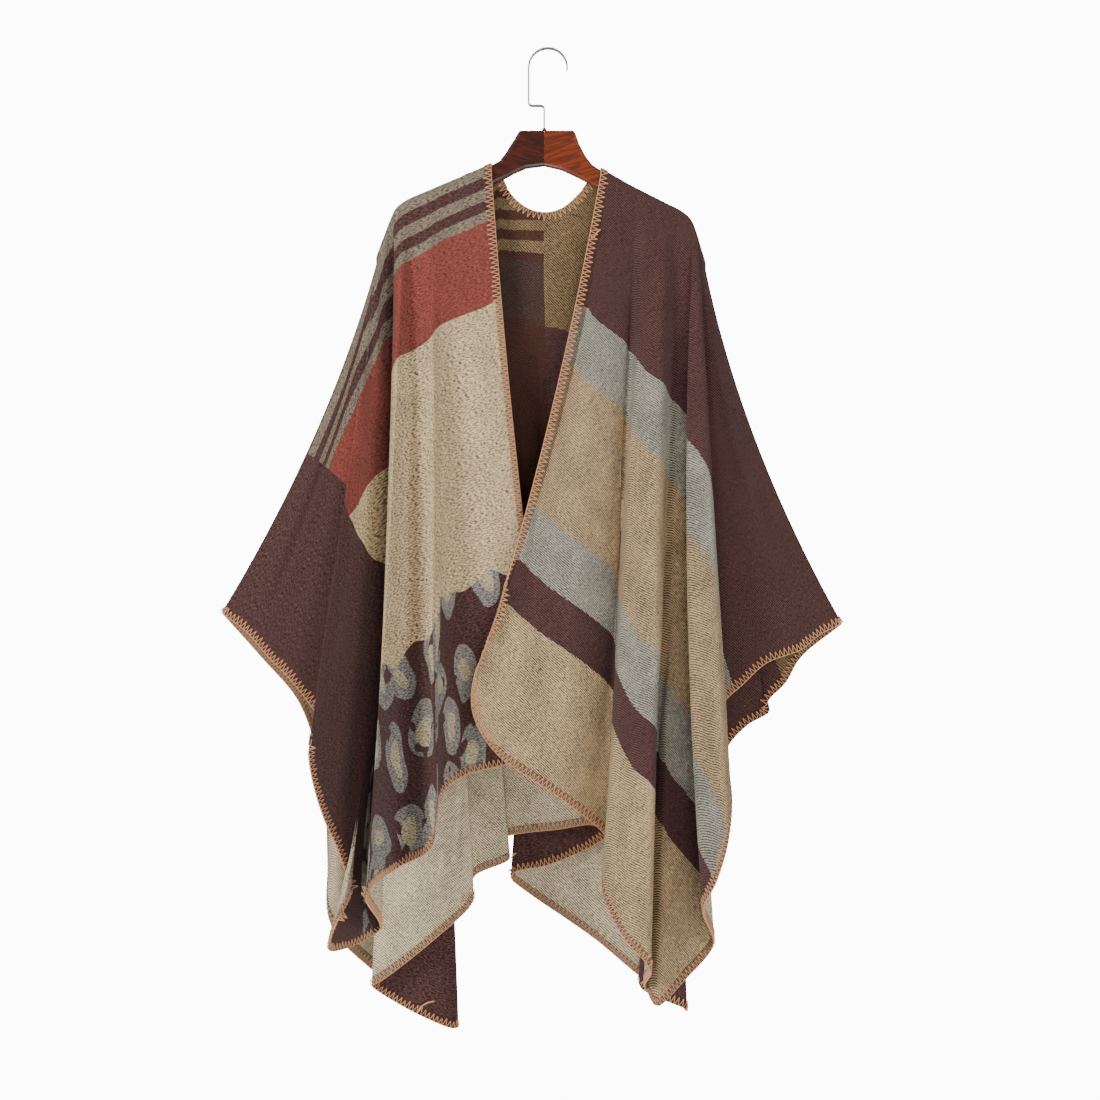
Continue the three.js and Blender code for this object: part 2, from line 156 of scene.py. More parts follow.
RIGHT_FRONT: Rows = [
    (0, -62, 716, -42, 8, 0, 0, 570),
    (5, -79, 765, -44, 18, 0, 4, 625),
    (10, -94, 807, -45, 24, 0, 16, 668),
    (15, -93, 846, -46, 20, 0, 42, 700),
    (21, -64, 894, -48, 9, 0, 84, 721),
    (30, -3, 937, -52, 0, 0, 150, 721),
    (38, 39, 967, -44, 0, 0, 205, 721),
    (46, 77, 1003, -30, 0, 0, 266, 721),
    (52, 74, 1037, -28, 0, 0, 310, 721),
    (60, 71, 1073, -104, 4, 0, 400, 721),
    (76, 99, 1130, -124, 0, 0, 470, 721),
    (94, 130, 1165, -142, 0, 0, 530, 721),
    (110, 126, 1193, -44, 0, 0, 640, 721),
    (120, 140, 1215, -66, 0, 0, 746, 719),
    (127, 174, 1183, -56, 0, 0, 750, 665),
    (132, 210, 1140, -50, -8, 0, 750, 610),
    (137, 198, 1092, -104, -14, 0, 750, 553),
    (142, 215, 1056, -130, -6, 0, 750, 502),
    (147, 231, 1003, -132, 0, 0, 750, 438),
    (152, 235, 955, -106, 0, 0, 750, 370),
    (157, 222, 878, -46, 0, 0, 750, 285),
    (162, 222, 834, -30, 0, 0, 750, 215),
    (167, 250, 805, -32, -4, 0, 750, 160),
    (172, 279, 779, -30, -8, 0, 750, 115),
    (178, 323, 762, -24, -15, 0, 750, 66),
    (184, 345, 744, -12, -20, -3, 750, 34),
    (190, 375, 729, 0, -20, 0, 750, 0),
]
# A start below 0 is on the left shoulder, one from 0 to 1 is that share of the neckline, and one above 1 is
# on the right shoulder. Across the back, the cut is measured from its centre line.
BACK: Rows = [
    (-205, -413, 715, 0, 18, 0, -750, 0),
    (-196, -362, 772, 16, 12, 0, -750, 83),
    (-188, -314, 830, 34, 8, 0, -750, 159),
    (-180, -286, 929, 76, 4, 0, -750, 267),
    (-172, -277, 1031, 96, 0, 0, -750, 381),
    (-163, -273, 1113, 62, 0, 0, -750, 476),
    (-153, -212, 1177, 104, 0, 0, -750, 640),
    (-143, -136, 1237, 60, 0, 0, -746, 810),
    (-134, -112, 1241, 46, 12, 0, -715, 813),
    (-126, -120, 1243, 36, 0, 0, -700, 813),
    (-118, -166, 1224, 33, 0, 0, -640, 813),
    (-110, -214, 1196, 30, 0, 0, -585, 813),
    (-103, -221, 1189, 23, 0, 0, -572, 813),
    (-96, -212, 1184, 17, 0, 0, -560, 813),
    (-88, -142, 1129, 16, 0, 0, -470, 813),
    (-82, -95, 1083, 14, 0, 0, -440, 813),
    (-76, -96, 1066, 22, 0, 0, -415, 813),
    (-70, -93, 1050, 28, 0, 0, -395, 813),
    (-58, -47, 1027, 25, 0, 0, -345, 813),
    (-50, -62, 1015, 29, 6, 0, -320, 813),
    (-44, -66, 1005, 33, 8, 0, -308, 813),
    (-36, -43, 997, 35, 0, 0, -275, 813),
    (0.04, 15, 990, 34, 0, 0, -215, 813),
    (0.2, 60, 985, 34, 0, 0, -170, 813),
    (0.28, 75, 998, 40, 0, 0, -150, 813),
    (0.36, 60, 1010, 46, 0, 0, -130, 813),
    (0.44, 0, 1036, 48, 0, 0, -65, 813),
    (0.52, -40, 1044, 50, 0, 0, -24, 813),
    (0.58, -46, 1052, 57, 0, 0, -14, 813),
    (0.66, -30, 1066, 64, 0, 0, 6, 813),
    (0.8, 61, 1129, 66, 0, 0, 116, 813),
    (0.96, 124, 1181, 64, 0, 0, 198, 813),
    (22, 133, 1177, 118, 0, 0, 260, 813),
    (40, 154, 1190, 62, 0, 0, 330, 813),
    (58, 159, 1196, 122, 0, 0, 400, 813),
    (76, 178, 1221, 60, 0, 0, 480, 813),
    (92, 176, 1218, 46, 0, 0, 500, 813),
    (104, 146, 1206, 42, 0, 0, 540, 813),
    (116, 118, 1190, 50, 0, 0, 590, 813),
    (124, 124, 1158, 76, 0, 0, 746, 810),
    (131, 182, 1082, 100, 0, 0, 750, 690),
    (138, 210, 1006, 78, 0, 0, 750, 590),
    (145, 222, 942, 54, 0, 0, 750, 500),
    (152, 227, 890, 38, 0, 0, 750, 420),
    (159, 254, 858, 34, -4, 0, 750, 335),
    (164, 283, 840, 30, -6, 0, 750, 285),
    (168, 280, 829, 28, -6, 0, 750, 255),
    (174, 303, 804, 22, -10, 0, 750, 185),
    (181, 322, 772, 15, -15, 0, 750, 110),
    (190, 375, 729, 0, -20, 0, 750, 0),
]

# How far the left arm's falls by the valley sag, so that the bands lie lower on them.
LEFT_SLACK = {146: 66, 152: 68, 157: 70, 162: 70, 167: 74, 172: 72, 177: 66, 182: 18, 192: -12}
# Soft ridges and troughs. Columns: where each starts and ends on the flat cut, across and down,
# then its half width and its height, which is below 0 for a trough.
LEFT_CREASES: Rows = [
    (105, 300, 160, 450, 11, 3.2),
    (160, 440, 188, 540, 9, 3.4),
    (84, 280, 134, 480, 12, -2.6),
    (196, 470, 236, 719, 8, -4.0),
    (218, 500, 266, 719, 9, 3.2),
    (60, 60, 38, 330, 22, 2.4),
    (124, 70, 92, 300, 22, -2.6),
    (58, 540, 118, 719, 14, -3.0),
    (18, 470, 52, 700, 14, 2.4),
    (230, 10, 312, 96, 12, 3.2),
    (250, 60, 380, 330, 16, -3.0),
    (330, 60, 640, 330, 16, 3.2),
    (300, 130, 560, 470, 18, -3.2),
    (430, 40, 710, 84, 11, -2.4),
    (560, 200, 742, 300, 14, 2.8),
    (600, 420, 744, 520, 12, -2.6),
]
RIGHT_CREASES: Rows = [
    (92, 330, 150, 640, 17, 3.2),
    (28, 60, 58, 330, 20, 2.4),
    (104, 60, 168, 400, 22, -3.2),
    (180, 400, 232, 719, 13, -3.2),
    (60, 540, 118, 719, 14, 3.0),
    (14, 420, 70, 560, 10, -2.4),
    (142, 34, 300, 190, 12, -2.4),
    (222, 18, 410, 84, 12, -2.0),
    (330, 280, 424, 719, 13, 3.2),
    (420, 320, 560, 700, 15, -3.0),
    (300, 26, 690, 56, 9, 2.6),
    (500, 180, 744, 330, 13, 3.2),
    (460, 120, 700, 190, 12, -2.8),
    (590, 380, 744, 470, 12, -2.6),
]
BACK_CREASES: Rows = [
    (-600, 120, -300, 420, 22, 4.0),
    (-520, 60, -240, 300, 20, -3.4),
    (-690, 60, -470, 110, 13, 3.0),
    (-505, 200, -508, 700, 22, 4.0),
    (-250, 120, -200, 700, 24, -4.0),
    (-90, 110, -130, 620, 26, 3.8),
    (30, 110, 8, 560, 26, -3.8),
    (120, 160, 172, 700, 22, 3.8),
    (262, 100, 238, 640, 20, -3.6),
    (330, 120, 420, 520, 20, 4.0),
    (470, 80, 690, 330, 18, -3.4),
    (540, 60, 730, 150, 14, 3.0),
]
# Ends of yarn that hang loose, and the two dashed rows of stitches inside the back's neck, as places seen on
# the hanger's plane with their depth.
LOOSE_ENDS: list[Rows] = [
    [(55, 241, -13), (60, 238, -16), (64, 232, -17), (68, 229, -16)],
    [(-165, 1224, 30), (-160, 1216, 26), (-152, 1211, 24), (-143, 1209, 25)],
]
NECK_ROWS: list[tuple[float, ...]] = [(-49, 213, -29, 207), (30, 209, 44, 214)]
NECK_ROW_DEPTH = 8.0
DASHES = 4
DASH_SHARE = 0.6


@dataclass(frozen=True)
class Crease:
    """A soft ridge or trough along a line on the flat cut, in millimetres."""

    start: tuple[float, float]
    end: tuple[float, float]
    width: float
    height: float

    def lift(self, cut: np.ndarray) -> np.ndarray:
        """Give how far the crease lifts each place of the cut, in metres."""
        first, last = np.array(self.start) * MM, np.array(self.end) * MM
        along = last - first
        share = np.clip(((cut - first) @ along) / (along @ along), 0, 1)
        away = np.linalg.norm(cut - first - share[..., None] * along, axis=-1)
        return self.height * MM * np.exp(-(away / (self.width * MM)) ** 2) * (1 - (2 * share - 1) ** 4)


def creases(rows: Rows) -> list[Crease]:
    """Read a table of creases."""
    return [Crease(row[0:2], row[2:4], row[4], row[5]) for row in rows]


def neck_dashes() -> list[Rows]:
    """Cut the back neck's two rows into dashes."""
    dashes = []
    for start_across, start_drop, end_across, end_drop in NECK_ROWS:
        for dash in range(DASHES):
            shares = (dash / DASHES, (dash + DASH_SHARE) / DASHES)
            dashes.append([(start_across + (end_across - start_across) * share,
                            start_drop + (end_drop - start_drop) * share,
                            NECK_ROW_DEPTH) for share in shares])
    return dashes


def smooth_through(points: np.ndarray, samples: np.ndarray) -> np.ndarray:
    """Draw a centripetal Catmull-Rom curve through points.

    Args:
        points: the points passed through, one row each.
        samples: places along the curve, where whole numbers are the points.

    Returns:
        The curve's points, one row for each sample.
    """
    ends = np.vstack([2 * points[0] - points[1], points, 2 * points[-1] - points[-2]])
    steps = np.maximum(np.sqrt(np.linalg.norm(np.diff(ends, axis=0), axis=1)), 1e-6)
    span = np.clip(samples.astype(int), 0, len(points) - 2)
    share = (samples - span)[:, None]
    first, second, third, fourth = (ends[span + offset] for offset in range(4))
    before, within, after = (steps[span + offset][:, None] for offset in range(3))
    chord = (third - second) / within
    leaving = ((second - first) / before - (third - first) / (before + within) + chord) * within
    arriving = (chord - (fourth - second) / (within + after) + (fourth - third) / after) * within
    cubic = 2 * second - 2 * third + leaving + arriving
    square = -3 * second + 3 * third - 2 * leaving - arriving
    return cubic * share ** 3 + square * share ** 2 + leaving * share + second


class TopEdge:
    """A shoulder or neckline, read by the distance or the share along it."""

    def __init__(self, places: Rows) -> None:
        """Draw the edge on the hanger's plane."""
        points = np.array([EYE.seen(across, drop, 0) for across, drop in places])
        self.line = smooth_through(points, np.linspace(0, len(points) - 1, 400))
        gaps = np.linalg.norm(np.diff(self.line, axis=0), axis=1)
        self.reached = np.concatenate([[0], np.cumsum(gaps)])

    def at(self, distance: float) -> np.ndarray:
        """Give the place a distance in metres along the edge, no further than its end."""
        return np.array([np.interp(distance, self.reached, self.line[:, axis]) for axis in range(3)])

    def share(self, part: float) -> np.ndarray:
        """Give the place at a share of the edge's length."""
        return self.at(part * self.reached[-1])


LEFT_EDGE = TopEdge(LEFT_SHOULDER)
RIGHT_EDGE = TopEdge(RIGHT_SHOULDER)
NECK_EDGE = TopEdge(NECKLINE)
NECK_HALF = 70 * MM
NECK_POINT_DROP = 148 * MM


@dataclass(frozen=True)
class Start:
    """Where a fall starts: its place, its arch over the hanger, and where it lies on the flat cut."""

    place: np.ndarray
    arched: float
    across_cut: float
    down_cut: float = 0.0


class Wire:
    """A shader value that Python's operators act on."""

    def __init__(self, shader: "Shader", socket: bpy.types.NodeSocket) -> None:
        """Wrap a socket of a shader's node."""
        self.shader = shader
        self.socket = socket

    def _math(self, operation: str, *values: Value) -> "Wire":
        """Add a Math node on the values."""
        inputs = {index: value for index, value in enumerate(values)}
        return self.shader.node("ShaderNodeMath", {"operation": operation}, inputs).out(0)

    def __add__(self, other: Value) -> "Wire":
        """Add."""
        return self._math("ADD", self, other)

    __radd__ = __add__

    def __sub__(self, other: Value) -> "Wire":
        """Subtract."""
        return self._math("SUBTRACT", self, other)

    def __mul__(self, other: Value) -> "Wire":
        """Multiply."""
        return self._math("MULTIPLY", self, other)

    def __gt__(self, other: Value) -> "Wire":
        """Give 1 where this is the greater."""
        return self._math("GREATER_THAN", self, other)

    def __lt__(self, other: Value) -> "Wire":
        """Give 1 where this is the smaller."""
        return self._math("LESS_THAN", self, other)

    def sine(self) -> "Wire":
        """Give the sine."""
        return self._math("SINE", self)


class Made:
    """A node that has been made, read by its outputs."""

    def __init__(self, shader: "Shader", node: bpy.types.Node) -> None:
        """Keep the node and its shader."""
        self.shader = shader
        self.node = node

    def out(self, name: Union[int, str]) -> Wire:
        """Give an output as a wire."""
        return Wire(self.shader, self.node.outputs[name])


class Shader:
    """A material and the nodes that make it."""

    def __init__(self, name: str) -> None:
        """Start an empty node material."""
        self.material = bpy.data.materials.new(name)
        self.material.use_nodes = True
        self.tree = self.material.node_tree
        self.tree.nodes.clear()

    def node(self, kind: str, settings: Optional[dict[str, Any]] = None,
             inputs: Optional[dict[Union[int, str], Any]] = None) -> Made:
        """Add a node.

        Args:
            kind: the node's type.
            settings: its own settings, set first.
            inputs: values or wires for its sockets, by name or number.

        Returns:
            The node made.
        """
        node = self.tree.nodes.new(kind)
        for name, value in (settings or {}).items():
            setattr(node, name, value)
        for name, value in (inputs or {}).items():
            socket = node.inputs[name]
            if isinstance(value, Wire):
                self.tree.links.new(value.socket, socket)
            elif isinstance(value, tuple) and len(value) == 3 and socket.type == "RGBA":
                socket.default_value = (*value, 1.0)
            else:
                socket.default_value = value
        return Made(self, node)

    def mix(self, mask: Value, low: Union[Wire, Colour], high: Union[Wire, Colour]) -> Wire:
        """Mix two colours by a mask."""
        made = self.node("ShaderNodeMix", {"data_type": "RGBA"}, {0: mask, 6: low, 7: high})
        return made.out(2)

    def noise(self, place: Wire, scale: float, detail: float = 2.0) -> Wire:
        """Give soft noise from 0 to 1."""
        inputs = {"Vector": place, "Scale": scale, "Detail": detail}
        return self.node("ShaderNodeTexNoise", {}, inputs).out(0)

    def either(self, one: Wire, other: Wire) -> Wire:
        """Join two masks."""
        return self.node("ShaderNodeMath", {"operation": "MAXIMUM"}, {0: one, 1: other}).out(0)

    def place(self, across: Value, along: Value, up: Value = 0) -> Wire:
        """Join three numbers to a vector."""
        return self.node("ShaderNodeCombineXYZ", {}, {0: across, 1: along, 2: up}).out(0)

    def parts(self, vector: Wire) -> tuple[Wire, Wire, Wire]:
        """Part a vector into its three numbers."""
        made = self.node("ShaderNodeSeparateXYZ", {}, {0: vector})
        return made.out(0), made.out(1), made.out(2)

    def finish(self, colour: Wire, roughness: Value, height: Wire, depth: float,
               fixed: Optional[dict[str, Any]] = None) -> bpy.types.Material:
        """Join the colour, roughness and bump to the surface.

        Args:
            colour: the base colour.
            roughness: how rough it is.
            height: the bump's height, from 0 to 1.
            depth: the bump's depth in metres.
            fixed: other sockets of the surface, each with one number or colour.

        Returns:
            The finished material.
        """
        bump = self.node("ShaderNodeBump", {}, {"Strength": 1.0, "Distance": depth, "Height": height})
        inputs = {"Base Color": colour, "Roughness": roughness, "Normal": bump.out(0), **(fixed or {})}
        surface = self.node("ShaderNodeBsdfPrincipled", {}, inputs)
        self.node("ShaderNodeOutputMaterial", {}, {0: surface.out(0)})
        return self.material


class Weave:
    """The brushed twill that every face of the cloth shares, over the yarns that a pattern gives."""

    TWILL_PITCH = 0.0034
    TWILL_LEAN = 0.8
    TWILL_WANDER = 3.5
    STITCH_REACH = 0.0095
    STITCH_SHADE = 0.62
    CUT_HALF_LENGTH = 0.750
    HEM = 0.721
    FLECK = 460.0
    FLECKING = 7.4
    FLECKING_LOST_TO_TWILL = 4.0
    FIBRES = 2.6
    FLECKED_SHARE = 0.38
    LINING = 2.3
    CLOUDING = 1.5
    BAND_WAVER = 0.0035
    NAP_DEPTH = 0.0012

    def __init__(self, name: str, twill: float) -> None:
        """Start the cloth's shader.

        Args:
            name: the material's name.
            twill: how clearly the diagonal lines show, from 0 to 1.
        """
        self.shader = Shader(name)
        self.twill = twill
        cut = self.shader.node("ShaderNodeUVMap", {"uv_map": CUT_MAP}).out(0)
        self.across, self.down, _ = self.shader.parts(cut)
        flecks = self.shader.place(self.across * 0.45 + self.down * 0.2, self.down * 1.7)
        self.fleck = self.shader.noise(flecks, self.FLECK, 2.0)
        self.fibre = self.shader.noise(flecks, self.FLECK * 3.0, 2.0)
        self.cloud = self.shader.noise(cut, 24.0, 4.0)
        self.wander = self.shader.noise(cut, 120.0, 2.0)
        right, deep, up = self.shader.parts(self.shader.node("ShaderNodeTexCoord").out("Object"))
        turns = 2 * math.pi / self.TWILL_PITCH
        slanted = (right + deep * self.TWILL_LEAN + up) * turns + self.wander * self.TWILL_WANDER
        self.lines = slanted.sine() * 0.5 + 0.5

    def yarn(self, yarn: Yarn) -> Wire:
        """Give a yarn's melange: its own colour, flecked and lined with its second one."""
        ground, fleck = yarn.value
        contrast = self.FLECKING - self.FLECKING_LOST_TO_TWILL * self.twill
        flecked = (self.fleck - 0.5) * contrast + (self.fibre - 0.5) * self.FIBRES + self.FLECKED_SHARE
        lined = (self.lines - 0.5) * (self.LINING * self.twill)
        clouded = (self.cloud - 0.5) * (self.CLOUDING * self.twill)
        held = self.shader.node("ShaderNodeClamp", {}, {0: flecked + (lined + clouded)}).out(0)
        return self.shader.mix(held, ground, fleck)

    def band(self, low: float, high: float) -> Wire:
        """Give the mask of a woven band between two drops, in millimetres from the shoulder's fold."""
        edge = self.down + (self.fleck - 0.5) * self.BAND_WAVER
        return (edge > low * MM) * (edge < high * MM)

    def paint(self, ground: Wire, bands: list[tuple[float, float, Yarn]]) -> Wire:
        """Lay bands of yarn over a ground."""
        for low, high, yarn in bands:
            ground = self.shader.mix(self.band(low, high), ground, self.yarn(yarn))
        return ground

    def near_edge(self) -> Wire:
        """Give the mask of the cloth that lies between the stitches, where painted shade goes."""
        arm = self.across > self.CUT_HALF_LENGTH - self.STITCH_REACH
        hem = self.down > self.HEM - self.STITCH_REACH
        slit = self.across < self.STITCH_REACH
        return self.shader.either(self.shader.either(arm, hem), slit)

    def finished(self, colour: Wire) -> bpy.types.Material:
        """Finish the cloth with its nap, clouds, relief, and painted shade between its stitches."""
        # Painted shade: the cloth near the stitched edges is darkened towards dark brown.
        colour = self.shader.mix(self.near_edge() * self.STITCH_SHADE, colour, srgb(58, 34, 24))
        shaded = self.shader.mix(self.cloud * 0.3, colour, (0.02, 0.015, 0.012))
        height = self.lines * (0.2 + 0.5 * self.twill) + self.fleck * 0.6 + self.fibre * 0.4
        fixed = {"Sheen Weight": 0.08, "Sheen Roughness": 0.5, "Specular IOR Level": 0.08}
        return self.shader.finish(shaded, 0.95, height, self.NAP_DEPTH, fixed)


class LeftFrontFace(Weave):
    """Stripes, a red band, khaki, spots on maroon, and a maroon block at the arm's end."""

    BANDS = [(3, 20, Yarn.GREY), (34, 48, Yarn.GREY), (61, 74, Yarn.GREY), (74, 174, Yarn.RED),
             (174, 560, Yarn.KHAKI)]
    SPOTS_FROM = 0.497
    ARM_BLOCK_FROM = 0.497
    ARM_BLOCK_SLOPE = 0.62
    SPOTS_END = 0.600
    SPOT_WIDTH = 0.052
    SPOT_HEIGHT = 0.080
    SPOT_STRAY = 0.72
    SPOT_SWAY = 0.7
    SPOT_BULGE = 0.6
    SPOT_REACH = 0.41
    HEART_REACH = 0.2
    OPENED_SHARE = 0.62
    SPOT_FRAY = 0.05
    SPOT_LOPSIDED = 0.12
    HEART_RAGGED = 0.25
    BITE_DEPTH = 0.045

    def dressed(self) -> bpy.types.Material:
        """Give the face's material."""
        shader = self.shader
        colour = self.paint(self.yarn(Yarn.MAROON), self.BANDS)
        bites = self.down + (shader.noise(shader.place(self.across, 0), 22.0, 0.0) - 0.5) * self.BITE_DEPTH
        sloped = self.across + self.down * self.down * self.ARM_BLOCK_SLOPE
        colour = shader.mix(sloped > self.ARM_BLOCK_FROM, colour, self.yarn(Yarn.MAROON))
        spotted = (bites > self.SPOTS_FROM) * (self.across < self.SPOTS_END)
        return self.finished(shader.mix(spotted, colour, self.spots()))

    def spots(self) -> Wire:
        """Give the spotted ground: tall rounded grey spots, some of them open, with khaki hearts."""
        shader = self.shader
        cut = shader.place(self.across, self.down)
        sway = (shader.noise(cut, 14.0, 1.0) - 0.5) * self.SPOT_SWAY
        bulge = (shader.noise(shader.place(self.down, self.across), 17.0, 1.0) - 0.5) * self.SPOT_BULGE
        placed = shader.place(self.across * (1 / self.SPOT_WIDTH) + sway,
                              self.down * (1 / self.SPOT_HEIGHT) + bulge)
        cells = shader.node("ShaderNodeTexVoronoi", {"voronoi_dimensions": "2D"},
                            {"Vector": placed, "Scale": 1.0, "Randomness": self.SPOT_STRAY}).out(0)
        reach = cells + (self.fleck - 0.5) * self.SPOT_FRAY
        opened = shader.noise(cut, 34.0, 1.0) < self.OPENED_SHARE
        spot = (reach + sway * self.SPOT_LOPSIDED < self.SPOT_REACH) * opened
        colour = shader.mix(spot, self.yarn(Yarn.MAROON), self.yarn(Yarn.SPOT))
        heart = reach + (self.cloud - 0.5) * self.HEART_RAGGED < self.HEART_REACH
        return shader.mix(heart, colour, self.yarn(Yarn.SPOT_HEART))


class RightFrontFace(Weave):
    """Plain bands across the whole width."""

    # The second band's tan is darkened a little as painted shade.
    BANDS = [(180, 254, Yarn.BLUE_GREY), (254, 434, Yarn.DEEP_TAN), (434, 504, Yarn.BLUE_GREY),
             (559, 900, Yarn.TAN)]

    def dressed(self) -> bpy.types.Material:
        """Give the face's material."""
        return self.finished(self.paint(self.yarn(Yarn.MAROON), self.BANDS))


class FrontReverse(Weave):
    """The fronts' inner face, in the second yarns."""

    def dressed(self) -> bpy.types.Material:
        """Give the face's material."""
        return self.finished(self.yarn(Yarn.GREIGE))


class BackWeave(Weave):
    """What both faces of the back share: it is stitched at both arms' ends, and its hem is longer."""

    HEM = 0.813

    def near_edge(self) -> Wire:
        """Give the mask of the cloth that lies between the stitches, where painted shade goes."""
        right = self.across > self.CUT_HALF_LENGTH - self.STITCH_REACH
        left = self.across < self.STITCH_REACH - self.CUT_HALF_LENGTH
        return self.shader.either(self.shader.either(left, right), self.down > self.HEM - self.STITCH_REACH)


class BackReverse(BackWeave):
    """The back's inner face: stripes and dark blocks on the left, khaki on the right, greige below; its
    khaki, in the stripes and on the right, is darkened as painted shade.
    """

    # The stripes and the band on the right are khaki darkened as painted shade.
    LEFT = [(0, 30, Yarn.OLIVE), (40, 54, Yarn.OLIVE), (66, 78, Yarn.OLIVE), (90, 104, Yarn.OLIVE),
            (114, 186, Yarn.COCOA), (560, 900, Yarn.GREIGE)]
    RIGHT = [(-20, 186, Yarn.OLIVE), (560, 900, Yarn.GREIGE)]
    ARM_BLOCK_TO = -0.51

    def dressed(self) -> bpy.types.Material:
        """Give the face's material."""
        left = self.paint(self.yarn(Yarn.BROWN), self.LEFT)
        left = self.shader.mix(self.across < self.ARM_BLOCK_TO, left, self.yarn(Yarn.GREIGE))
        right = self.paint(self.yarn(Yarn.MAROON), self.RIGHT)
        return self.finished(self.shader.mix(self.across > 0.0, left, right))


class BackFace(BackWeave):
    """The back's outer face: the fronts' bands carried over the shoulders, and maroon below."""

    LEFT = LeftFrontFace.BANDS
    RIGHT = [(180, 254, Yarn.BLUE_GREY), (254, 434, Yarn.TAN), (434, 504, Yarn.BLUE_GREY)]
    ARM_BLOCK_TO = -0.56

    def dressed(self) -> bpy.types.Material:
        """Give the face's material."""
        left = self.paint(self.yarn(Yarn.MAROON), self.LEFT)
        left = self.shader.mix(self.across < self.ARM_BLOCK_TO, left, self.yarn(Yarn.MAROON))
        right = self.paint(self.yarn(Yarn.MAROON), self.RIGHT)
        return self.finished(self.shader.mix(self.across > 0.0, left, right))


@dataclass(frozen=True)
class EdgeYarn:
    """The camel yarn of the blanket stitch."""

    name: str = "edge_yarn"
    colour: Colour = srgb(226, 166, 118)
    shade: Colour = srgb(152, 98, 64)

    def dressed(self) -> bpy.types.Material:
        """Give the yarn's material, with its twist."""
        shader = Shader(self.name)
        here = shader.node("ShaderNodeTexCoord").out("Object")
        fibres = shader.noise(here, 1500.0, 2.0)
        colour = shader.mix(fibres, self.colour, self.shade)
        downy = {"Sheen Weight": 0.3, "Specular IOR Level": 0.15}
        return shader.finish(colour, 0.9, fibres, 0.3 * MM, downy)


@dataclass(frozen=True)
class LacqueredWood:
    """Glossy hardwood with its grain along the arm."""

    name: str
    light: Colour
    dark: Colour
    lean: float

    def dressed(self) -> bpy.types.Material:
        """Give the wood's material."""
        shader = Shader(self.name)
        across, depth, up = shader.parts(shader.node("ShaderNodeTexCoord").out("Object"))
        leaning = up + across * self.lean
        figure = shader.noise(shader.place(across * 9.0, depth * 60.0, leaning * 70.0), 1.6, 5.0)
        fine = shader.noise(shader.place(across * 60.0, depth * 500.0, leaning * 900.0), 1.0, 3.0)
        bands = ((figure * 30.0).sine() * 0.5 + 0.5) * 0.6 + fine * 0.5
        held = shader.node("ShaderNodeClamp", {}, {0: bands}).out(0)
        colour = shader.mix(held, self.dark, self.light)
        lacquer = {"Coat Weight": 0.35, "Coat Roughness": 0.15, "Specular IOR Level": 0.3}
        return shader.finish(colour, 0.24 + fine * 0.12, fine, 0.08 * MM, lacquer)


@dataclass(frozen=True)
class DrawnSteel:
    """Metal with fine drawing lines along it."""

    name: str
    colour: Colour
    roughness: float

    def dressed(self) -> bpy.types.Material:
        """Give the metal's material."""
        shader = Shader(self.name)
        here = shader.node("ShaderNodeTexCoord").out("Object")
        across, depth, up = shader.parts(here)
        scratches = shader.noise(shader.place(across * 300.0, depth * 4000.0, up * 300.0), 1.0, 2.0)
        dull = shader.noise(here, 90.0, 2.0)
        colour = shader.mix(dull * 0.35, self.colour, (0.09, 0.08, 0.075))
        rough = self.roughness + scratches * 0.2
        return shader.finish(colour, rough, scratches, 0.04 * MM, {"Metallic": 1.0})


